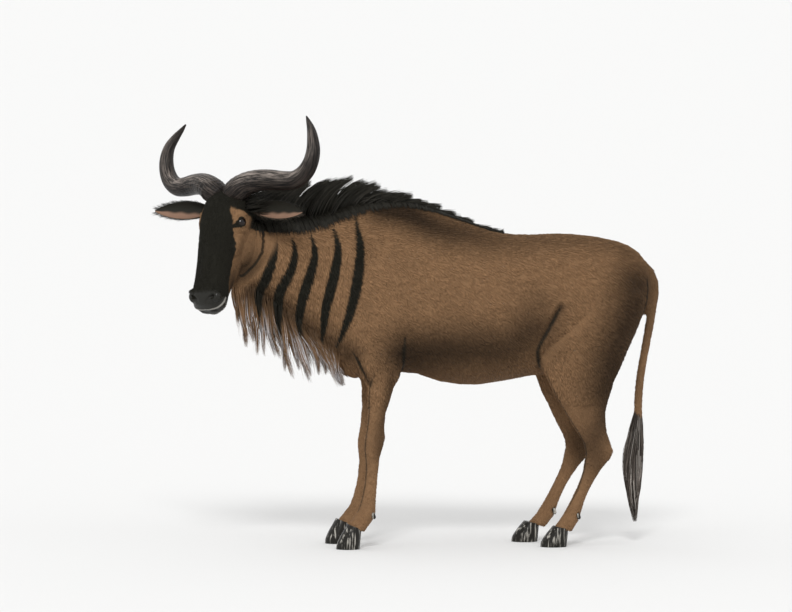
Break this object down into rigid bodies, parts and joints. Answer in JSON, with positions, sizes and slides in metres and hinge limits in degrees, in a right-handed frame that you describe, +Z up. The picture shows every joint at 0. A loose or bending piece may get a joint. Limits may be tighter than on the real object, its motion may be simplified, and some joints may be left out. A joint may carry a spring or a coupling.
{
  "type": "wildebeest",
  "caption": "Standing wildebeest, still life-size model: curved horns, head turned to its left, spiky mane, hanging throat beard, high shoulders, sloping back, long legs, tufted tail.",
  "frame": {"origin": "point on the floor under the centre of the bounding box, between the feet", "axes": "+Z up, the body faces -X with its tail towards +X, and its left side is towards -Y; the head is turned towards -Y"},
  "size_m": [1.9535, 0.5506, 1.6626],
  "materials": {
    "coat": "short dull brown hair",
    "face": "short dull black hair",
    "horn": "satin grey-brown horn with fine lengthwise lines",
    "ear_skin": "thin skin with short hair",
    "eyeball": "wet gloss",
    "hoof": "satin black horn",
    "mane_hair": "long coarse black hair",
    "beard_hair": "long hair, brown with pale grey ends",
    "tuft_hair": "long grey-brown hair"
  },
  "bodies": {
    "root": {"head": "face", "neck": "coat", "torso": "coat", "fore_left_claw_outer": "hoof", "fore_left_dewclaw_outer": "hoof", "fore_left_claw_inner": "hoof", "fore_left_dewclaw_inner": "hoof", "fore_left_leg": "coat", "fore_left_shank": "coat", "fore_right_claw_outer": "hoof", "fore_right_dewclaw_outer": "hoof", "fore_right_claw_inner": "hoof", "fore_right_dewclaw_inner": "hoof", "fore_right_leg": "coat", "fore_right_shank": "coat", "hind_left_claw_outer": "hoof", "hind_left_dewclaw_outer": "hoof", "hind_left_claw_inner": "hoof", "hind_left_dewclaw_inner": "hoof", "hind_left_leg": "coat", "hind_left_shank": "coat", "hind_right_claw_outer": "hoof", "hind_right_dewclaw_outer": "hoof", "hind_right_claw_inner": "hoof", "hind_right_dewclaw_inner": "hoof", "hind_right_leg": "coat", "hind_right_shank": "coat", "horn_left": "horn", "eye_left": "eyeball", "ear_left": "ear_skin", "horn_right": "horn", "eye_right": "eyeball", "ear_right": "ear_skin", "tail_upper": "coat", "tail_lower": "coat", "tail_tuft": "tuft_hair", "mane": "mane_hair", "beard": "beard_hair"}
  },
  "joints": []
}
